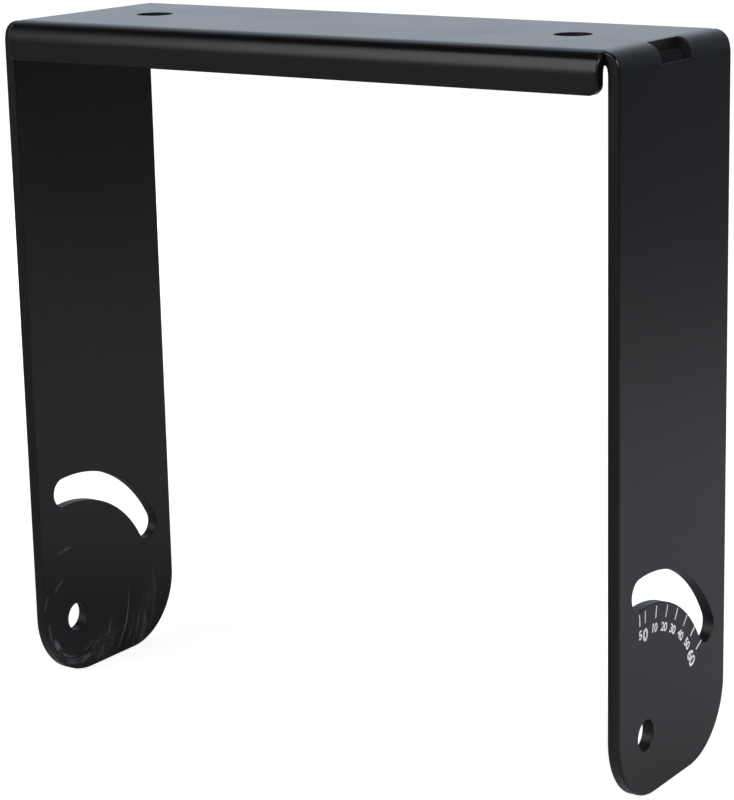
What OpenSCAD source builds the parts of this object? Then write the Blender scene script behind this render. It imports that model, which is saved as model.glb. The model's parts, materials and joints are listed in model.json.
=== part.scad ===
// Speaker wall bracket: a U-shaped yoke folded from one sheet of steel.
// The plate on top is bolted to the wall, the two arms hang from its ends
// and the speaker is clamped between them by two screws on each side.
// Millimetres. The origin is the centre of the plate's top face, +X runs
// along the plate towards the arm with the printed scale, +Y is the rear.

/* [Sheet] */
// Thickness of the sheet with its coat
sheet_t = 4.2; // [2:0.1:6]
// Inside radius of every fold
fold_in_r = 2.5; // [0.5:0.1:5]

/* [Yoke] */
// Width over both arms
yoke_w = 245; // [215:1:400]
// Height from the top face to the ends of the arms
yoke_h = 246; // [120:1:400]
// Width of an arm, from its front edge to its rear edge
arm_w = 75.5; // [72:0.5:160]
// Radius of the two corners at the end of an arm
arm_corner_r = 25; // [2:0.5:35]

/* [Stiffening lips] */
// Height of a lip, from the top face to its lower edge
lip_h = 13.5; // [11:0.5:60]
// Clearance between a lip's inner face and the plane of the arms' edges
lip_step = 0.1; // [0:0.1:3]
// Gap along the plate between a lip's end and the arm's inner face
lip_gap = 1.2; // [0.5:0.1:6]
// Radius of a lip's two lower corners
lip_corner_r = 3.5; // [0.5:0.1:4]

/* [Fixing holes] */
// Diameter of the two holes in the plate
fix_d = 12; // [4:0.5:30]
// Distance between the two holes
fix_pitch = 170; // [60:1:200]

/* [Cable window] */
// Length of the window along the fold
window_len = 21; // [5:0.5:60]
// Part of the fold that is left standing on each side of the window, in degrees
window_rest = 10; // [5:1:30]

/* [Tilt adjustment] */
// Diameter of the pivot screw's hole
pivot_d = 10.5; // [4:0.1:20]
// Distance from an arm's front edge to the pivot
pivot_front = 18.5; // [12:0.1:24]
// Distance from an arm's lower end to the pivot
pivot_up = 21.8; // [16:0.1:40]
// Radius of the slot's middle line about the pivot
slot_r = 49.5; // [20:0.1:55]
// Width of the slot
slot_w = 10.7; // [4:0.1:16]
// Forward end of the tilt range, in degrees from straight up
tilt_front = -5; // [-10:1:20]
// Rear end of the tilt range, in degrees from straight up
tilt_rear = 60; // [30:1:75]

/* [Hidden] */
$fn = 96;
// Length by which a cutter runs past the face it cuts
over = 1;
fold_out_r = fold_in_r + sheet_t;
// Folds of the arms start here, measured from the middle of the plate
arm_fold_x = yoke_w / 2 - fold_out_r;
arm_in_x = yoke_w / 2 - sheet_t;
lip_end_x = arm_in_x - lip_gap;
// Folds of the lips start here, measured from the middle of the plate
lip_fold_y = arm_w / 2 + lip_step - fold_in_r;
pivot_y = pivot_front - arm_w / 2;
pivot_z = pivot_up - yoke_h;

// Section of a flange that is folded down from the plate, with the axis of
// its fold at the origin and the plate's edge on the positive Y axis
module flange_section(flat) {
    intersection() {
        difference() {
            circle(fold_out_r);
            circle(fold_in_r);
        }
        square(fold_out_r + over);
    }
    translate([fold_in_r, -flat]) square([sheet_t, flat]);
}

// Both arms with the plate between them, as one folded strip
module folded_strip() {
    rotate([90, 0, 0]) linear_extrude(arm_w, center = true) {
        translate([-arm_fold_x, -sheet_t]) square([2 * arm_fold_x, sheet_t]);
        for (side = [0, 1]) mirror([side, 0])
            translate([arm_fold_x, -fold_out_r]) flange_section(yoke_h - fold_out_r);
    }
}

// What is sheared off a square corner to leave it round: the corner is at
// the origin and the sheet lies in the positive quadrant
module corner_waste(r) {
    difference() {
        translate([-over, -over]) square(r + over);
        translate([r, r]) circle(r);
    }
}

// Lip along the front or rear edge of the plate, with its lower corners rounded
module lip() {
    difference() {
        rotate([90, 0, 90]) linear_extrude(2 * lip_end_x, center = true)
            translate([lip_fold_y, -fold_out_r]) flange_section(lip_h - fold_out_r);
        for (side = [0, 1]) mirror([side, 0, 0])
            translate([-lip_end_x, 0, -lip_h]) rotate([90, 0, 0])
                linear_extrude(arm_w + 4 * fold_out_r, center = true) corner_waste(lip_corner_r);
    }
}

// Arc slot about the origin of the arm's plane, 0 degrees being straight up.
// Each half starts at its own round end, and the two overlap in the middle.
module tilt_slot() {
    half_span = (tilt_rear - tilt_front) / 2;
    overlap = 0.2 * half_span;
    rotate([0, 0, 90 - tilt_front - half_span])
        for (side = [0, 1]) mirror([0, side, 0]) rotate([0, 0, -half_span]) {
            translate([slot_r, 0, -over]) cylinder(d = slot_w, h = sheet_t + 2 * over);
            rotate_extrude(angle = half_span + overlap)
                translate([slot_r - slot_w / 2, -over]) square([slot_w, sheet_t + 2 * over]);
        }
}

// Everything that is cut from one arm, in the arm's plane
module arm_cuts() {
    translate([pivot_y, pivot_z, 0]) {
        translate([0, 0, -over]) cylinder(d = pivot_d, h = sheet_t + 2 * over);
        tilt_slot();
    }
    for (edge = [0, 1]) mirror([edge, 0, 0])
        translate([-arm_w / 2, -yoke_h, -over])
            linear_extrude(sheet_t + 2 * over) corner_waste(arm_corner_r);
}

// Window through the fold of the scale arm, with walls square to the sheet
module cable_window() {
    reach = 2 * fold_out_r;
    translate([arm_fold_x, 0, -fold_out_r]) rotate([90, 0, 0])
        linear_extrude(window_len, center = true)
            polygon([
                [0, 0],
                [reach * cos(window_rest), reach * sin(window_rest)],
                [reach, reach],
                [reach * sin(window_rest), reach * cos(window_rest)]
            ]);
}

// The whole bracket, which is one folded sheet
module bracket() {
    color([0.07, 0.07, 0.08]) difference() {
        union() {
            difference() {
                folded_strip();
                for (side = [0, 1]) mirror([0, side, 0])
                    translate([-lip_end_x, lip_fold_y, -fold_out_r])
                        cube([2 * lip_end_x, arm_w, 2 * fold_out_r]);
            }
            for (side = [0, 1]) mirror([0, side, 0]) lip();
        }
        for (side = [-1, 1]) translate([side * fix_pitch / 2, 0, -sheet_t - over])
            cylinder(d = fix_d, h = sheet_t + 2 * over);
        for (arm_x = [arm_in_x, -yoke_w / 2])
            translate([arm_x, 0, 0]) rotate([90, 0, 90]) arm_cuts();
        cable_window();
    }
}

bracket();
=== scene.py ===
import json
import math

import bmesh
import bpy
from mathutils import Matrix, Vector


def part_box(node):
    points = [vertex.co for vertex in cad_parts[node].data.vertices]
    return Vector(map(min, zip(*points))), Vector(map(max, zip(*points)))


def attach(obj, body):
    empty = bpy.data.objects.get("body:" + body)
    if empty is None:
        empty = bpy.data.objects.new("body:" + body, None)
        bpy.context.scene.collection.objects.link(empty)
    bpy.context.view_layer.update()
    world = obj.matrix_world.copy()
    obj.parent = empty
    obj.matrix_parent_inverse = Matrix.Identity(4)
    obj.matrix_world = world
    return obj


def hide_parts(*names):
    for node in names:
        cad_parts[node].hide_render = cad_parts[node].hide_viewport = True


# A speaker wall bracket: one steel sheet, sheared flat, folded four times and
# powder-coated satin black, with a tilt scale printed on its right arm.

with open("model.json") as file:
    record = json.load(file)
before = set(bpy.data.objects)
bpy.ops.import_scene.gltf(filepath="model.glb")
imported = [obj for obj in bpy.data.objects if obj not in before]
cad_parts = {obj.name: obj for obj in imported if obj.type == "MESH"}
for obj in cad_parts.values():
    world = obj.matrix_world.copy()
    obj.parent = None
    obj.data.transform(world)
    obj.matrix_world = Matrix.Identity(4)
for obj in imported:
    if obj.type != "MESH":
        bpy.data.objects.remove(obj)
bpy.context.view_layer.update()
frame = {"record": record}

MM = 0.001
lowest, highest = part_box("bracket")
mounts = {mount["name"]: mount for mount in frame["record"]["mounts"]}
pivot_mount = mounts["pivot_hole_right"]
fixing_dims = mounts["fixing_holes"]["dims"]

# Sheet and folds. The pivot bore is as long as the sheet is thick.
# A fold is tight in its middle and eases into the flats on both sides.
SHEET = pivot_mount["dims"]["length_mm"] * MM
TIGHT_R = 5.5 * MM
EASED_R = 14 * MM
EASED_TURN = math.radians(15)
TIGHT_TURN = math.pi / 2 - 2 * EASED_TURN
FOLD_RUN = TIGHT_R * TIGHT_TURN + 2 * EASED_R * EASED_TURN
FOLD_SIZE = (EASED_R * (math.sin(EASED_TURN) + 1 - math.cos(EASED_TURN))
             + TIGHT_R * (math.cos(EASED_TURN) - math.sin(EASED_TURN)))
FOLD_STEPS = 25

# Arrises of the sheared edges: the outer face's, the inner face's and those of holes
ARRIS_R = 0.85 * MM
INNER_ARRIS_R = 0.5 * MM
HOLE_ARRIS_R = 0.3 * MM
ARRIS_STEP = 0.17 * MM

# Arms
ARM_FACE_X = highest.x
ARM_INNER_X = ARM_FACE_X - SHEET
ARM_FOLD_X = ARM_FACE_X - FOLD_SIZE
ARM_EDGE_Y = 37.75 * MM
ARM_CORNER_R = 25 * MM

# Lips
LIP_FOLD_Y = highest.y - FOLD_SIZE
LIP_H = 13.5 * MM
LIP_END_X = ARM_INNER_X - 1.2 * MM
LIP_CORNER_R = 3.5 * MM

# Holes, slots and the window. The photo shows the fixing holes 0.2 mm wider all round.
FIX_X = fixing_dims["spacing_x_mm"] * MM / 2
FIX_R = fixing_dims["hole_r_mm"] * MM + 0.2 * MM
PIVOT = Vector(pivot_mount["pos_m"])
PIVOT_R = pivot_mount["dims"]["r_mm"] * MM
SLOT_R = 49.5 * MM
SLOT_HALF_W = 5.35 * MM
TILT_FRONT, TILT_REAR = -5, 60
WINDOW_HALF_LEN = 10.5 * MM
WINDOW_START = 2.7 * MM
WINDOW_END = 11.8 * MM
WINDOW_CORNER_R = 0.3 * MM

# Printed scale
INK_THICKNESS = 0.04 * MM
ZERO_TICK, TICK_STEP, FIRST_TICK = -1.1, 10.5, -6.4
SCALE_DRIFT = 1.1 * MM
TICK_INNER_R = 39 * MM
TICK_LENGTH = 4.1 * MM
TICK_WIDTH = 0.62 * MM
SMALL_NUMBER_R = 35.9 * MM
LARGE_NUMBER_R = 34.9 * MM
NUMBER_WEIGHT = 0.027
NUMBER_STRETCH = 1.12
NUMBER_SPACING = 0.92
NUMBER_CURVE_STEPS = 8
SMALL_NUMBER_H = 3.1 * MM
LARGE_NUMBER_H = 4.4 * MM

# Camera: where it stands, and its azimuth, elevation and roll in degrees
CAMERA_PLACE = (0.488312, -0.708561, 0.083123)
CAMERA_TURN = (32.755, 13.749, -0.905)
LENS_MM = 114.44
LENS_SHIFT = (-0.09125, -0.0125)

# Lengths that count as nothing when meshes are cut, welded and cleaned
WELD = 0.0001 * MM
SHORTEST_EDGE = 0.002 * MM

# Rubbed arcs round the left arm's pivot: radius and width in millimetres,
# first and last tilt in degrees from straight up towards the rear, strength.
# Each arc reaches past its two tilts and fades there.
ARC_FADE = 12
RUBBED_ARCS = [
    (20.0, 0.8, -62, -60, 0.35),
    (17.6, 1.0, -37, -32, 0.35),
    (27.7, 0.7, -17, -7, 0.3),
    (15.8, 1.6, -108, -88, 0.28),
    (14.8, 1.5, -130, -118, 1.0),
    (15.2, 1.0, -170, -128, 0.5),
    (17.0, 1.8, -178, -150, 0.35),
    (17.6, 1.8, 164, 180, 0.45),
    (14.6, 0.9, 150, 166, 0.3),
    (16.6, 1.2, 136, 150, 0.3),
    (21.6, 1.6, 140, 150, 0.4),
    (24.2, 1.0, 120, 146, 0.2),
    (20.4, 1.2, 108, 130, 0.25),
    (29.3, 0.6, 90, 128, 0.9),
    (33.5, 1.2, 106, 124, 0.18),
    (37.0, 1.6, 100, 122, 0.25),
    (41.0, 2.4, 108, 118, 0.45),
    (45.5, 1.6, 84, 106, 0.25),
    (19.0, 8.0, -175, -95, 0.13),
    (21.0, 9.0, 112, 172, 0.13),
    (42.0, 8.0, 90, 118, 0.13),
]


# Points of the flat blank

def arc(centre, radius, start, end):
    """Points on an arc round a centre, from one angle to another in degrees"""
    steps = max(4, round(abs(end - start) / 3))
    angles = [math.radians(start + (end - start) * step / steps) for step in range(steps + 1)]
    return [(centre[0] + radius * math.cos(a), centre[1] + radius * math.sin(a)) for a in angles]


def circle(centre, radius):
    """Points all round a circle"""
    return arc(centre, radius, 0, 360)[:-1]


def flat_arm_x(z):
    """How far from the blank's middle a height on a hanging arm lies while the sheet is flat"""
    return ARM_FOLD_X + FOLD_RUN - FOLD_SIZE - z


def blank_outline():
    """The whole blank: two arms in line, and a lip on each long side of the plate between them"""
    tip = flat_arm_x(lowest.z) - ARM_CORNER_R
    lip_edge = LIP_FOLD_Y + FOLD_RUN + LIP_H - FOLD_SIZE - LIP_CORNER_R
    quarter = arc((tip, ARM_EDGE_Y - ARM_CORNER_R), ARM_CORNER_R, 0, 90)
    quarter += [(LIP_END_X, ARM_EDGE_Y)]
    quarter += arc((LIP_END_X - LIP_CORNER_R, lip_edge), LIP_CORNER_R, 0, 90)
    half = quarter + [(-x, y) for x, y in reversed(quarter)]
    return half + [(-x, -y) for x, y in half]


def window_outline():
    """A rectangle with small round corners, across the fold of the scale's arm"""
    near = ARM_FOLD_X + WINDOW_START + WINDOW_CORNER_R
    far = ARM_FOLD_X + WINDOW_END - WINDOW_CORNER_R
    side = WINDOW_HALF_LEN - WINDOW_CORNER_R
    corners = [(far, side), (near, side), (near, -side), (far, -side)]
    return [point for turn, corner in enumerate(corners)
            for point in arc(corner, WINDOW_CORNER_R, 90 * turn, 90 * turn + 90)]


def slot_outline():
    """The tilt slot round the pivot, as offsets to the rear and upwards"""
    rear, front = 90 - TILT_REAR, 90 - TILT_FRONT
    front_end, rear_end = [
        (SLOT_R * math.cos(math.radians(a)), SLOT_R * math.sin(math.radians(a))) for a in (front, rear)]
    points = arc((0, 0), SLOT_R + SLOT_HALF_W, rear, front)[:-1]
    points += arc(front_end, SLOT_HALF_W, front, front + 180)[:-1]
    points += arc((0, 0), SLOT_R - SLOT_HALF_W, front, rear)[:-1]
    points += arc(rear_end, SLOT_HALF_W, rear + 180, rear + 360)[:-1]
    return points


def on_arm(side, points):
    """Offsets from the pivot, to the rear and upwards, as places on one arm of the blank"""
    return [(side * flat_arm_x(PIVOT.z + up), PIVOT.y + rear) for rear, up in points]


def moved_in(points, distance):
    """A closed outline whose every side is moved to its left by a distance"""
    result = []
    for index, point in enumerate(points):
        here = Vector(point)
        before = (here - Vector(points[index - 1])).normalized()
        after = (Vector(points[(index + 1) % len(points)]) - here).normalized()
        left, next_left = Vector((-before.y, before.x)), Vector((-after.y, after.x))
        result.append(here + (left + next_left) * (distance / (1 + left.dot(next_left))))
    return result


def add_edge_wall(sheet, points, arris, outer_arris=None):
    """The sheared edge of the sheet along an outline, with both arrises rounded.
    The metal lies to the left of the outline. Returns the two rims of the wall."""
    curves = []
    for radius in (outer_arris or arris, arris):
        steps = max(3, round(radius / ARRIS_STEP))
        turns = [math.pi / 2 * step / steps for step in range(steps + 1)]
        curves.append([(radius * (1 - math.sin(turn)), radius * (1 - math.cos(turn))) for turn in turns])
    profile = [(inset, -depth) for inset, depth in curves[0]]
    profile += [(inset, depth - SHEET) for inset, depth in reversed(curves[1])]
    rings = []
    for inset, height in profile:
        ring = moved_in(points, inset)
        rings.append([sheet.verts.new((place.x, place.y, height)) for place in ring])
    for upper, lower in zip(rings, rings[1:]):
        for index in range(len(points)):
            sheet.faces.new((upper[index - 1], upper[index], lower[index], lower[index - 1]))
    return rings[0], rings[-1]


def blank_mesh():
    """The sheared blank with its holes, its top face at height zero and its arrises rounded"""
    sheet = bmesh.new()
    punched = sheet.verts.layers.float.new("punched")
    rims = [add_edge_wall(sheet, blank_outline(), INNER_ARRIS_R, ARRIS_R)]
    outline_size = len(sheet.verts)
    cuts = [window_outline()]
    for side in (1, -1):
        cuts.append(circle((side * FIX_X, 0), FIX_R))
        cuts.append(on_arm(side, circle((0, 0), PIVOT_R)))
        cuts.append(on_arm(side, slot_outline()))
    for points in cuts:
        # A cut runs clockwise, which leaves the metal on its left
        turning = sum(a[0] * b[1] - b[0] * a[1] for a, b in zip(points, points[1:] + points[:1]))
        rims.append(add_edge_wall(sheet, points[::-1] if turning > 0 else points, HOLE_ARRIS_R))
    for vert in list(sheet.verts)[outline_size:]:
        vert[punched] = 1
    for vert in [vert for rim in rims for ring in rim for vert in ring]:
        vert[punched] = 0
    for rings in zip(*rims):
        edges = [sheet.edges.get((ring[index - 1], ring[index]))
                 for ring in rings for index in range(len(ring))]
        bmesh.ops.triangle_fill(sheet, edges=edges, use_beauty=True, use_dissolve=False)
    score_folds(sheet)
    bmesh.ops.dissolve_degenerate(sheet, dist=SHORTEST_EDGE, edges=sheet.edges)
    bmesh.ops.recalc_face_normals(sheet, faces=sheet.faces)
    mesh = bpy.data.meshes.new("blank")
    sheet.to_mesh(mesh)
    sheet.free()
    mesh.shade_smooth()
    return mesh


def score_folds(sheet):
    """Cuts rows of edges across the blank wherever it will bend"""
    for step in range(FOLD_STEPS + 1):
        run = FOLD_RUN * step / FOLD_STEPS
        for side in (1, -1):
            arm_row = Vector((side * (ARM_FOLD_X + run), 0, 0))
            lip_row = Vector((0, side * (LIP_FOLD_Y + run), 0))
            for place in (arm_row, lip_row):
                geometry = list(sheet.verts) + list(sheet.edges) + list(sheet.faces)
                bmesh.ops.bisect_plane(
                    sheet, geom=geometry, dist=WELD, plane_co=place, plane_no=place.normalized())


# Folding, in Geometry Nodes

def math_node(tree, operation, *values):
    """A math node fed by sockets or plain numbers; returns its output"""
    node = tree.nodes.new("ShaderNodeMath")
    node.operation = operation
    for socket, value in zip(node.inputs, values):
        if isinstance(value, bpy.types.NodeSocket):
            tree.links.new(value, socket)
        else:
            socket.default_value = value
    return node.outputs[0]


def new_tree(name, inputs, outputs):
    """An empty Geometry Nodes tree with named sockets, and its input and output nodes"""
    tree = bpy.data.node_groups.new(name, "GeometryNodeTree")
    for direction, sockets in (("INPUT", inputs), ("OUTPUT", outputs)):
        for label, kind in sockets:
            tree.interface.new_socket(label, in_out=direction, socket_type="NodeSocket" + kind)
    return tree, tree.nodes.new("NodeGroupInput").outputs, tree.nodes.new("NodeGroupOutput").inputs


def fold_group():
    """Where a point of the blank goes when all beyond a line is folded down square.
    The turn comes in three arcs, and the middle one is tighter than the others."""
    places = [("Along", "Float"), ("Height", "Float")]
    sizes = [(label, "Float") for label in ("Fold line", "Eased radius", "Eased turn", "Tight radius")]
    tree, given, result = new_tree("square_fold", places + sizes, places)

    def calc(operation, *values):
        return math_node(tree, operation, *values)

    distance = calc("ABSOLUTE", given["Along"])
    left = calc("MAXIMUM", calc("SUBTRACT", distance, given["Fold line"]), 0)
    out = calc("MINIMUM", distance, given["Fold line"])
    down = 0
    turned = 0
    eased = (given["Eased radius"], given["Eased turn"])
    tight = (given["Tight radius"], calc("MULTIPLY_ADD", given["Eased turn"], -2, math.pi / 2))
    for radius, turn in (eased, tight, eased):
        step = calc("MINIMUM", calc("DIVIDE", left, radius), turn)
        left = calc("SUBTRACT", left, calc("MULTIPLY", step, radius))
        after = calc("ADD", turned, step)
        sine = calc("SUBTRACT", calc("SINE", after), calc("SINE", turned))
        cosine = calc("SUBTRACT", calc("COSINE", turned), calc("COSINE", after))
        out = calc("MULTIPLY_ADD", radius, sine, out)
        down = calc("MULTIPLY_ADD", radius, cosine, down)
        turned = after
    out = calc("MULTIPLY_ADD", given["Height"], calc("SINE", turned), out)
    height = calc("MULTIPLY_ADD", given["Height"], calc("COSINE", turned), calc("MULTIPLY", down, -1))
    tree.links.new(calc("MULTIPLY", out, calc("SIGN", given["Along"])), result["Along"])
    tree.links.new(calc("SUBTRACT", height, left), result["Height"])
    return tree


def folding_tree():
    """Folds the lips, then the arms, and gives the sheet its coat"""
    shape = ["Eased radius", "Eased turn", "Tight radius"]
    sizes = ["Arm fold line", "Arm edge", "Lip fold line", "Lip end"] + shape
    inputs = [("Geometry", "Geometry")] + [(size, "Float") for size in sizes] + [("Coat", "Material")]
    tree, given, result = new_tree("fold_bracket", inputs, [("Geometry", "Geometry")])
    group = fold_group()
    place = tree.nodes.new("ShaderNodeSeparateXYZ")
    tree.links.new(tree.nodes.new("GeometryNodeInputPosition").outputs[0], place.inputs[0])

    def fold(along, height, line, across, limit):
        """Folds past one line, where the sheet is no further across than a limit"""
        node = tree.nodes.new("GeometryNodeGroup")
        node.node_tree = group
        for label, socket in (("Along", along), ("Height", height), ("Fold line", line)):
            tree.links.new(socket, node.inputs[label])
        for label in shape:
            tree.links.new(given[label], node.inputs[label])
        inside = math_node(tree, "LESS_THAN", math_node(tree, "ABSOLUTE", across),
                           math_node(tree, "ADD", limit, 0.01 * MM))
        results = []
        for label, before in (("Along", along), ("Height", height)):
            choice = tree.nodes.new("GeometryNodeSwitch")
            choice.input_type = "FLOAT"
            tree.links.new(inside, choice.inputs["Switch"])
            tree.links.new(before, choice.inputs["False"])
            tree.links.new(node.outputs[label], choice.inputs["True"])
            results.append(choice.outputs[0])
        return results

    x, y, z = place.outputs
    folded_y, lip_z = fold(y, z, given["Lip fold line"], x, given["Lip end"])
    folded_x, folded_z = fold(x, lip_z, given["Arm fold line"], y, given["Arm edge"])
    joined = tree.nodes.new("ShaderNodeCombineXYZ")
    for socket, target in zip((folded_x, folded_y, folded_z), joined.inputs):
        tree.links.new(socket, target)
    bend = tree.nodes.new("GeometryNodeSetPosition")
    tree.links.new(given["Geometry"], bend.inputs["Geometry"])
    tree.links.new(joined.outputs[0], bend.inputs["Position"])
    finish_tree(tree, bend.outputs[0], given["Coat"], result)
    return tree


def finish_tree(tree, geometry, material, result):
    """Ends a tree in Realize Instances and Set Material"""
    real = tree.nodes.new("GeometryNodeRealizeInstances")
    coat = tree.nodes.new("GeometryNodeSetMaterial")
    tree.links.new(geometry, real.inputs[0])
    tree.links.new(real.outputs[0], coat.inputs["Geometry"])
    tree.links.new(material, coat.inputs["Material"])
    tree.links.new(coat.outputs[0], result["Geometry"])


def run_tree(name, mesh, tree, values, weighted=False):
    """Runs a tree on a mesh and returns the result as a plain object"""
    maker = bpy.data.objects.new(name + "_maker", mesh)
    bpy.context.scene.collection.objects.link(maker)
    modifier = maker.modifiers.new("maker", "NODES")
    modifier.node_group = tree
    for item in tree.interface.items_tree:
        if item.in_out == "INPUT" and item.name in values:
            modifier[item.identifier] = values[item.name]
    if weighted:
        maker.modifiers.new("normals", "WEIGHTED_NORMAL").weight = 100
    depsgraph = bpy.context.evaluated_depsgraph_get()
    made = bpy.data.meshes.new_from_object(
        maker.evaluated_get(depsgraph), preserve_all_data_layers=True, depsgraph=depsgraph)
    bpy.data.objects.remove(maker)
    piece = bpy.data.objects.new(name, made)
    made.name = name
    bpy.context.scene.collection.objects.link(piece)
    return piece


def make_bracket(coat):
    """The folded sheet, which stands in for the bracket's solid"""
    values = {
        "Arm fold line": ARM_FOLD_X,
        "Arm edge": ARM_EDGE_Y,
        "Lip fold line": LIP_FOLD_Y,
        "Lip end": LIP_END_X,
        "Eased radius": EASED_R,
        "Eased turn": EASED_TURN,
        "Tight radius": TIGHT_R,
        "Coat": coat,
    }
    piece = run_tree("folded_sheet", blank_mesh(), folding_tree(), values, weighted=True)
    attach(piece, "root")
    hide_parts("bracket")
    return piece


# Printed scale

def tick_tree():
    """Flat bars on an arc round the pivot, one for each mark of the scale"""
    sizes = ["Inner radius", "Length", "Width", "Thickness", "First tilt", "Zero tilt", "Step", "Drift"]
    inputs = [("Geometry", "Geometry")] + [(size, "Float") for size in sizes]
    inputs += [("Marks", "Int"), ("Ink", "Material")]
    tree, given, result = new_tree("scale_ticks", inputs, [("Geometry", "Geometry")])
    index = tree.nodes.new("GeometryNodeInputIndex").outputs[0]
    # The first mark stands in front of zero, and the rest follow from zero in equal steps
    steps = math_node(tree, "SUBTRACT", index, 1)
    later = math_node(tree, "MULTIPLY_ADD", steps, given["Step"], given["Zero tilt"])
    choice = tree.nodes.new("GeometryNodeSwitch")
    choice.input_type = "FLOAT"
    tree.links.new(math_node(tree, "LESS_THAN", index, 0.5), choice.inputs["Switch"])
    tree.links.new(later, choice.inputs["False"])
    tree.links.new(given["First tilt"], choice.inputs["True"])
    tilt = choice.outputs[0]
    middle = math_node(tree, "MULTIPLY_ADD", given["Length"], 0.5, given["Inner radius"])
    # The marks stand further out as they go to the rear, by the drift at one radian
    square = math_node(tree, "MULTIPLY", tilt, tilt)
    radius = math_node(tree, "MULTIPLY_ADD", square, given["Drift"], middle)
    place = tree.nodes.new("ShaderNodeCombineXYZ")
    tree.links.new(math_node(tree, "MULTIPLY", radius, math_node(tree, "SINE", tilt)), place.inputs["Y"])
    tree.links.new(math_node(tree, "MULTIPLY", radius, math_node(tree, "COSINE", tilt)), place.inputs["Z"])
    points = tree.nodes.new("GeometryNodePoints")
    tree.links.new(given["Marks"], points.inputs["Count"])
    tree.links.new(place.outputs[0], points.inputs["Position"])
    turn = tree.nodes.new("ShaderNodeCombineXYZ")
    tree.links.new(math_node(tree, "MULTIPLY", tilt, -1), turn.inputs["X"])
    size = tree.nodes.new("ShaderNodeCombineXYZ")
    for label, target in zip(("Thickness", "Width", "Length"), size.inputs):
        tree.links.new(given[label], target)
    bar = tree.nodes.new("GeometryNodeMeshCube")
    tree.links.new(size.outputs[0], bar.inputs["Size"])
    spread = tree.nodes.new("GeometryNodeInstanceOnPoints")
    tree.links.new(points.outputs[0], spread.inputs["Points"])
    tree.links.new(bar.outputs["Mesh"], spread.inputs["Instance"])
    tree.links.new(turn.outputs[0], spread.inputs["Rotation"])
    finish_tree(tree, spread.outputs[0], given["Ink"], result)
    return tree


def make_ticks(ink):
    """The scale's marks, on the right arm's outer face"""
    values = {
        "Inner radius": TICK_INNER_R,
        "Length": TICK_LENGTH,
        "Width": TICK_WIDTH,
        "Thickness": INK_THICKNESS,
        "First tilt": math.radians(FIRST_TICK),
        "Zero tilt": math.radians(ZERO_TICK),
        "Step": math.radians(TICK_STEP),
        "Drift": SCALE_DRIFT,
        "Marks": 2 + TILT_REAR // 10,
        "Ink": ink,
    }
    piece = run_tree("scale_ticks", bpy.data.meshes.new("ticks"), tick_tree(), values)
    piece.data.transform(Matrix.Translation((ARM_FACE_X, PIVOT.y, PIVOT.z)))
    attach(piece, "root")
    return piece


def number_mesh(words, height, weight):
    """Flat figures as a thin closed mesh, centred and facing +Z"""
    text = bpy.data.curves.new("figures", "FONT")
    text.body = words
    text.extrude = INK_THICKNESS / 2
    text.offset = weight
    text.resolution_u = NUMBER_CURVE_STEPS
    text.space_character = NUMBER_SPACING
    holder = bpy.data.objects.new("figures", text)
    bpy.context.scene.collection.objects.link(holder)
    depsgraph = bpy.context.evaluated_depsgraph_get()
    mesh = bpy.data.meshes.new_from_object(holder.evaluated_get(depsgraph))
    bpy.data.objects.remove(holder)
    low = [min(vertex.co[axis] for vertex in mesh.vertices) for axis in range(3)]
    high = [max(vertex.co[axis] for vertex in mesh.vertices) for axis in range(3)]
    middle = Vector([-(a + b) / 2 for a, b in zip(low, high)])
    scale = height / (high[1] - low[1])
    mesh.transform(Matrix.Diagonal((NUMBER_STRETCH * scale, scale, 1, 1)) @ Matrix.Translation(middle))
    return mesh


def make_numbers(ink):
    """The scale's figures, each turned along the arc"""
    figures = bmesh.new()
    for tilt in [TILT_FRONT] + list(range(0, TILT_REAR + 1, 10)):
        large = tilt in (0, TILT_REAR)
        mesh = number_mesh(str(abs(tilt)), LARGE_NUMBER_H if large else SMALL_NUMBER_H, NUMBER_WEIGHT)
        lean = math.radians(FIRST_TICK if tilt < 0 else ZERO_TICK + tilt / 10 * TICK_STEP)
        radius = (LARGE_NUMBER_R if large else SMALL_NUMBER_R) + SCALE_DRIFT * lean * lean
        outward = Vector((0, math.sin(lean), math.cos(lean)))
        along = Vector((0, math.cos(lean), -math.sin(lean)))
        face = Matrix((along, outward, Vector((1, 0, 0)))).transposed().to_4x4()
        spot = Vector((ARM_FACE_X, PIVOT.y, PIVOT.z)) + outward * radius
        mesh.transform(Matrix.Translation(spot) @ face)
        figures.from_mesh(mesh)
    bmesh.ops.remove_doubles(figures, verts=figures.verts, dist=WELD)
    bmesh.ops.recalc_face_normals(figures, faces=figures.faces)
    mesh = bpy.data.meshes.new("scale_numbers")
    figures.to_mesh(mesh)
    mesh.materials.append(ink)
    piece = bpy.data.objects.new("scale_numbers", mesh)
    bpy.context.scene.collection.objects.link(piece)
    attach(piece, "root")
    return piece


# Materials

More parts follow.
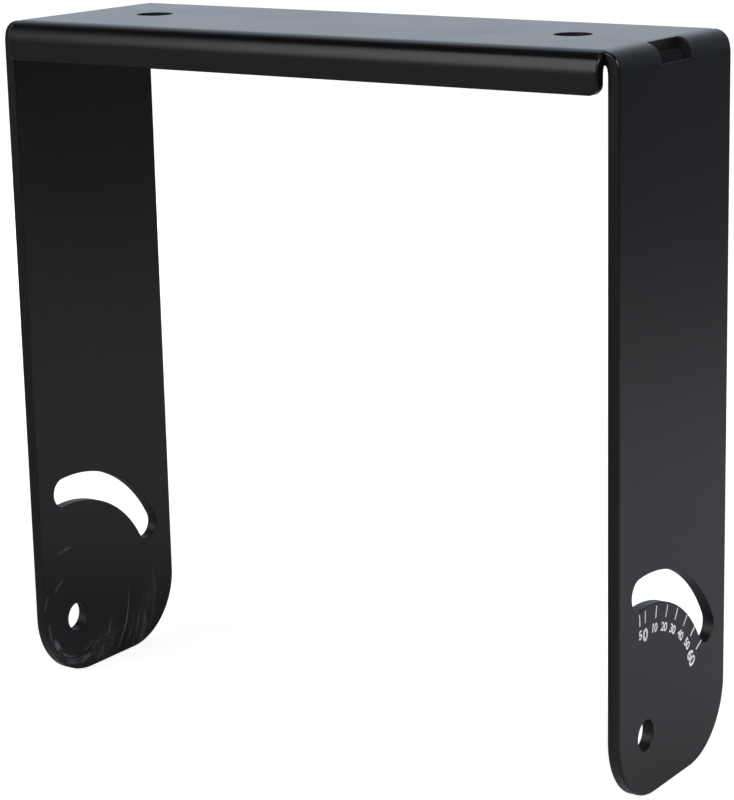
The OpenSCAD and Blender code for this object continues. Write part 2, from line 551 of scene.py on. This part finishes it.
class Nodes:
    """Short ways to add and join the nodes of one tree"""

    def __init__(self, tree):
        self.tree = tree

    def feed(self, node, values):
        for label, value in values.items():
            if isinstance(value, bpy.types.NodeSocket):
                self.tree.links.new(value, node.inputs[label])
            else:
                node.inputs[label].default_value = value

    def add(self, kind, **values):
        node = self.tree.nodes.new("ShaderNode" + kind)
        self.feed(node, {label.replace("_", " "): value for label, value in values.items()})
        return node

    def math(self, operation, *values):
        return math_node(self.tree, operation, *values)

    def fade(self, value, start, end, low, high):
        """A smooth change from one value to another between two places"""
        node = self.add("MapRange", Value=value, From_Min=start, From_Max=end, To_Min=low, To_Max=high)
        node.interpolation_type = "SMOOTHSTEP"
        return node.outputs["Result"]

    def noise(self, vector, scale, detail=2.0):
        node = self.add("TexNoise", Vector=vector, Scale=scale, Detail=detail)
        return node.outputs["Fac"]

    def mix_colour(self, factor, first, second):
        node = self.add("Mix")
        node.data_type = "RGBA"
        for index, value in ((0, factor), (6, first), (7, second)):
            self.feed(node, {index: value})
        return node.outputs[2]


def rub_group():
    """One rubbed arc on an arm: full on its radius and tilt, and fading past its width and reach"""
    tree = bpy.data.node_groups.new("rubbed_arc", "ShaderNodeTree")
    for label in ("Radius", "Tilt", "Arc radius", "Width", "Middle", "Reach", "Strength"):
        tree.interface.new_socket(label, in_out="INPUT", socket_type="NodeSocketFloat")
    tree.interface.new_socket("Rub", in_out="OUTPUT", socket_type="NodeSocketFloat")
    nodes = Nodes(tree)
    given = tree.nodes.new("NodeGroupInput").outputs
    masks = []
    for place, middle, reach in (("Radius", "Arc radius", "Width"), ("Tilt", "Middle", "Reach")):
        away = nodes.math("ABSOLUTE", nodes.math("SUBTRACT", given[place], given[middle]))
        part = nodes.math("DIVIDE", away, given[reach])
        masks.append(nodes.fade(part, 0.1, 1.0, 1.0, 0.0))
    both = nodes.math("MULTIPLY", masks[0], masks[1])
    result = tree.nodes.new("NodeGroupOutput").inputs["Rub"]
    tree.links.new(nodes.math("MULTIPLY", both, given["Strength"]), result)
    return tree


def rubbed_by_speaker(nodes, place):
    """Where the speaker's side has rubbed the left arm's inner face, in arcs round the pivot"""
    parts = nodes.add("SeparateXYZ", Vector=place).outputs
    rear = nodes.math("SUBTRACT", parts["Y"], PIVOT.y)
    up = nodes.math("SUBTRACT", parts["Z"], PIVOT.z)
    squares = nodes.math("ADD", nodes.math("MULTIPLY", rear, rear), nodes.math("MULTIPLY", up, up))
    wobble = nodes.math("MULTIPLY_ADD", nodes.noise(place, 70), 2.4, -1.2)
    radius = nodes.math("MULTIPLY_ADD", nodes.math("SQRT", squares), 1 / MM, wobble)
    tilt = nodes.math("DEGREES", nodes.math("ARCTAN2", rear, up))
    group = rub_group()
    total = None
    for arc_radius, width, start, end, strength in RUBBED_ARCS:
        node = nodes.tree.nodes.new("ShaderNodeGroup")
        node.node_tree = group
        nodes.feed(node, {
            "Radius": radius,
            "Tilt": tilt,
            "Arc radius": arc_radius,
            "Width": width,
            "Middle": (start + end) / 2,
            "Reach": (end - start) / 2 + ARC_FADE,
            "Strength": strength,
        })
        total = nodes.math("MAXIMUM", total, node.outputs[0]) if total else node.outputs[0]
    # Noise that is stretched along the arcs
    across, along = nodes.math("MULTIPLY", radius, 1.5), nodes.math("MULTIPLY", tilt, 0.07)
    unrolled = nodes.add("CombineXYZ", X=across, Y=along)
    streaks = nodes.fade(nodes.noise(unrolled.outputs[0], 1.0, 1.5), 0.3, 0.7, 0.15, 1.2)
    inner = nodes.math("COMPARE", parts["X"], -ARM_INNER_X, 0.2 * MM)
    return nodes.math("MULTIPLY", nodes.math("MULTIPLY", total, streaks), inner)


def coat_material():
    """Satin black powder coat: fine orange peel, uneven gloss, dust, and rubbed arcs"""
    coat = bpy.data.materials.new("satin_black_coat")
    coat.use_nodes = True
    nodes = Nodes(coat.node_tree)
    place = nodes.add("TexCoord").outputs["Object"]
    shader = coat.node_tree.nodes["Principled BSDF"]
    rub = rubbed_by_speaker(nodes, place)
    # The walls of the punched holes are rougher under the coat
    punched = coat.node_tree.nodes.new("ShaderNodeAttribute")
    punched.attribute_name = "punched"
    patches = nodes.noise(place, 28)
    grain = nodes.noise(place, 1400)
    cells = nodes.add("TexVoronoi", Vector=place, Scale=260.0)
    chance = nodes.add("SeparateColor", Color=cells.outputs["Color"]).outputs[0]
    spot = nodes.fade(cells.outputs["Distance"], 0.08, 0.16, 1.0, 0.0)
    dust = nodes.math("MULTIPLY", spot, nodes.math("GREATER_THAN", chance, 0.975))
    shade = nodes.mix_colour(patches, (0.0028, 0.0028, 0.0034, 1), (0.0042, 0.0042, 0.0050, 1))
    shade = nodes.mix_colour(nodes.math("MULTIPLY", dust, 0.35), shade, (0.16, 0.16, 0.17, 1))
    shade = nodes.mix_colour(rub, shade, (0.24, 0.24, 0.255, 1))
    rough = nodes.math("MULTIPLY_ADD", patches, 0.06, 0.2)
    rough = nodes.math("MULTIPLY_ADD", grain, 0.04, rough)
    rough = nodes.math("MULTIPLY_ADD", rub, 0.2, rough)
    rough = nodes.math("MULTIPLY_ADD", punched.outputs["Fac"], 0.2, rough)
    peel = nodes.math("MULTIPLY_ADD", grain, 0.25, nodes.noise(place, 620))
    bump = nodes.add("Bump", Height=peel, Distance=0.006 * MM, Strength=1.0)
    nodes.feed(shader, {"Base Color": shade, "Roughness": rough, "Normal": bump.outputs[0]})
    return coat


def ink_material():
    """White screen-printing ink, a little uneven in its cover"""
    ink = bpy.data.materials.new("white_scale_ink")
    ink.use_nodes = True
    nodes = Nodes(ink.node_tree)
    place = nodes.add("TexCoord").outputs["Object"]
    shader = ink.node_tree.nodes["Principled BSDF"]
    cover = nodes.fade(nodes.noise(place, 900, 3.0), 0.3, 0.5, 0.0, 1.0)
    shade = nodes.mix_colour(cover, (0.9, 0.91, 0.9, 1), (0.96, 0.97, 0.96, 1))
    bump = nodes.add("Bump", Height=nodes.noise(place, 2500), Distance=0.004 * MM)
    nodes.feed(shader, {"Base Color": shade, "Normal": bump.outputs[0]})
    shader.inputs["Roughness"].default_value = 0.5
    return ink


def floor_material():
    """Pale paper that the camera sees white, apart from the object's soft shadow"""
    floor = bpy.data.materials.new("pale_floor")
    floor.use_nodes = True
    nodes = Nodes(floor.node_tree)
    shader = floor.node_tree.nodes["Principled BSDF"]
    shader.inputs["Base Color"].default_value = (0.61, 0.59, 0.64, 1)
    shader.inputs["Roughness"].default_value = 0.9
    shader.inputs["Emission Color"].default_value = (1, 1, 1, 1)
    distance = nodes.add("VectorMath", Vector=nodes.add("TexCoord").outputs["Object"])
    distance.operation = "LENGTH"
    glow = nodes.fade(distance.outputs["Value"], 0.35, 1.3, 0.83, 0.95)
    seen = nodes.add("LightPath").outputs["Is Camera Ray"]
    nodes.feed(shader, {"Emission Strength": nodes.math("MULTIPLY", seen, glow)})
    return floor


# Studio

def make_floor():
    """A wide floor under the ends of the arms"""
    half = 12
    mesh = bpy.data.meshes.new("floor")
    corners = [(-half, -half), (half, -half), (half, half), (-half, half)]
    mesh.from_pydata([(x, y, 0) for x, y in corners], [], [(0, 1, 2, 3)])
    mesh.materials.append(floor_material())
    floor = bpy.data.objects.new("floor", mesh)
    floor.location.z = lowest.z
    bpy.context.scene.collection.objects.link(floor)


def make_world():
    """White to the camera. The object mirrors a room that is pale low down at the back
    and darker overhead, in front and on the right."""
    world = bpy.data.worlds.new("studio")
    bpy.context.scene.world = world
    world.use_nodes = True
    world.node_tree.nodes.clear()
    nodes = Nodes(world.node_tree)
    parts = nodes.add("SeparateXYZ", Vector=nodes.add("TexCoord").outputs["Generated"]).outputs
    low = nodes.fade(parts["Z"], 0.27, 0.42, 0.84, 0.46)
    high = nodes.fade(parts["Z"], 0.58, 0.8, 1.0, 0.04)
    back = nodes.fade(parts["Y"], -0.1, 0.6, 0.28, 1.0)
    side = nodes.fade(parts["X"], -0.2, 0.5, 1.0, 0.19)
    strength = nodes.math("MULTIPLY", nodes.math("MULTIPLY", low, high), nodes.math("MULTIPLY", back, side))
    room = nodes.add("Background", Color=(0.87, 0.98, 1.11, 1), Strength=strength)
    white = nodes.add("Background", Color=(1, 1, 1, 1))
    choice = nodes.add("MixShader", Fac=nodes.add("LightPath").outputs["Is Camera Ray"])
    nodes.feed(choice, {1: room.outputs[0], 2: white.outputs[0]})
    nodes.feed(nodes.add("OutputWorld"), {"Surface": choice.outputs[0]})


def softbox(name, place, target, width, height, radiance, spread=180):
    """A rectangular lamp of a given brightness, which the camera doesn't see"""
    lamp = bpy.data.lights.new(name, "AREA")
    lamp.shape = "RECTANGLE"
    lamp.size, lamp.size_y = width, height
    lamp.energy = radiance * math.pi * width * height
    lamp.spread = math.radians(spread)
    box = bpy.data.objects.new(name, lamp)
    box.location = place
    box.rotation_euler = (Vector(target) - Vector(place)).to_track_quat("-Z", "Y").to_euler()
    box.visible_camera = False
    bpy.context.scene.collection.objects.link(box)


def make_lights():
    """A large lamp in front and four small ones, two of which light pools on the floor
    that the arms mirror"""
    centre = (0, 0, lowest.z / 2)
    softbox("front_left_box", (-1.365, -3.66, 2.32), centre, 3.4, 3.8, 2.0)
    softbox("right_box", (1.13, -0.18, 0.5), (0.43, 0.14, lowest.z), 0.6, 0.6, 1.5, 60)
    softbox("front_right_box", (1.25, -1.65, 0.7), centre, 1.6, 1.0, 0.4)
    softbox("left_box", (-1.1, 0.9, 0.6), (-0.75, 0.65, lowest.z), 0.6, 0.6, 1.2, 50)
    softbox("top_box", (0, 0, 2.2), centre, 1.3, 1.3, 0.6)


def make_camera():
    """The camera that took the photo, as fitted to the bracket's edges"""
    lens = bpy.data.cameras.new("camera")
    lens.sensor_width = 36
    lens.lens = LENS_MM
    lens.shift_x, lens.shift_y = LENS_SHIFT
    lens.clip_start, lens.clip_end = 0.05, 50
    camera = bpy.data.objects.new("camera", lens)
    bpy.context.scene.collection.objects.link(camera)
    bpy.context.scene.camera = camera
    azimuth, elevation, roll = (math.radians(angle) for angle in CAMERA_TURN)
    ahead = Vector((-math.sin(azimuth) * math.cos(elevation),
                    math.cos(azimuth) * math.cos(elevation),
                    -math.sin(elevation)))
    level = Vector((math.cos(azimuth), math.sin(azimuth), 0))
    upright = level.cross(ahead)
    right = math.cos(roll) * level + math.sin(roll) * upright
    up = math.cos(roll) * upright - math.sin(roll) * level
    turn = Matrix((right, up, -ahead)).transposed().to_4x4()
    camera.matrix_world = Matrix.Translation(CAMERA_PLACE) @ turn


make_camera()
make_bracket(coat_material())
ink = ink_material()
make_ticks(ink)
make_numbers(ink)
make_floor()
make_world()
make_lights()
bpy.context.scene.view_settings.view_transform = "Standard"
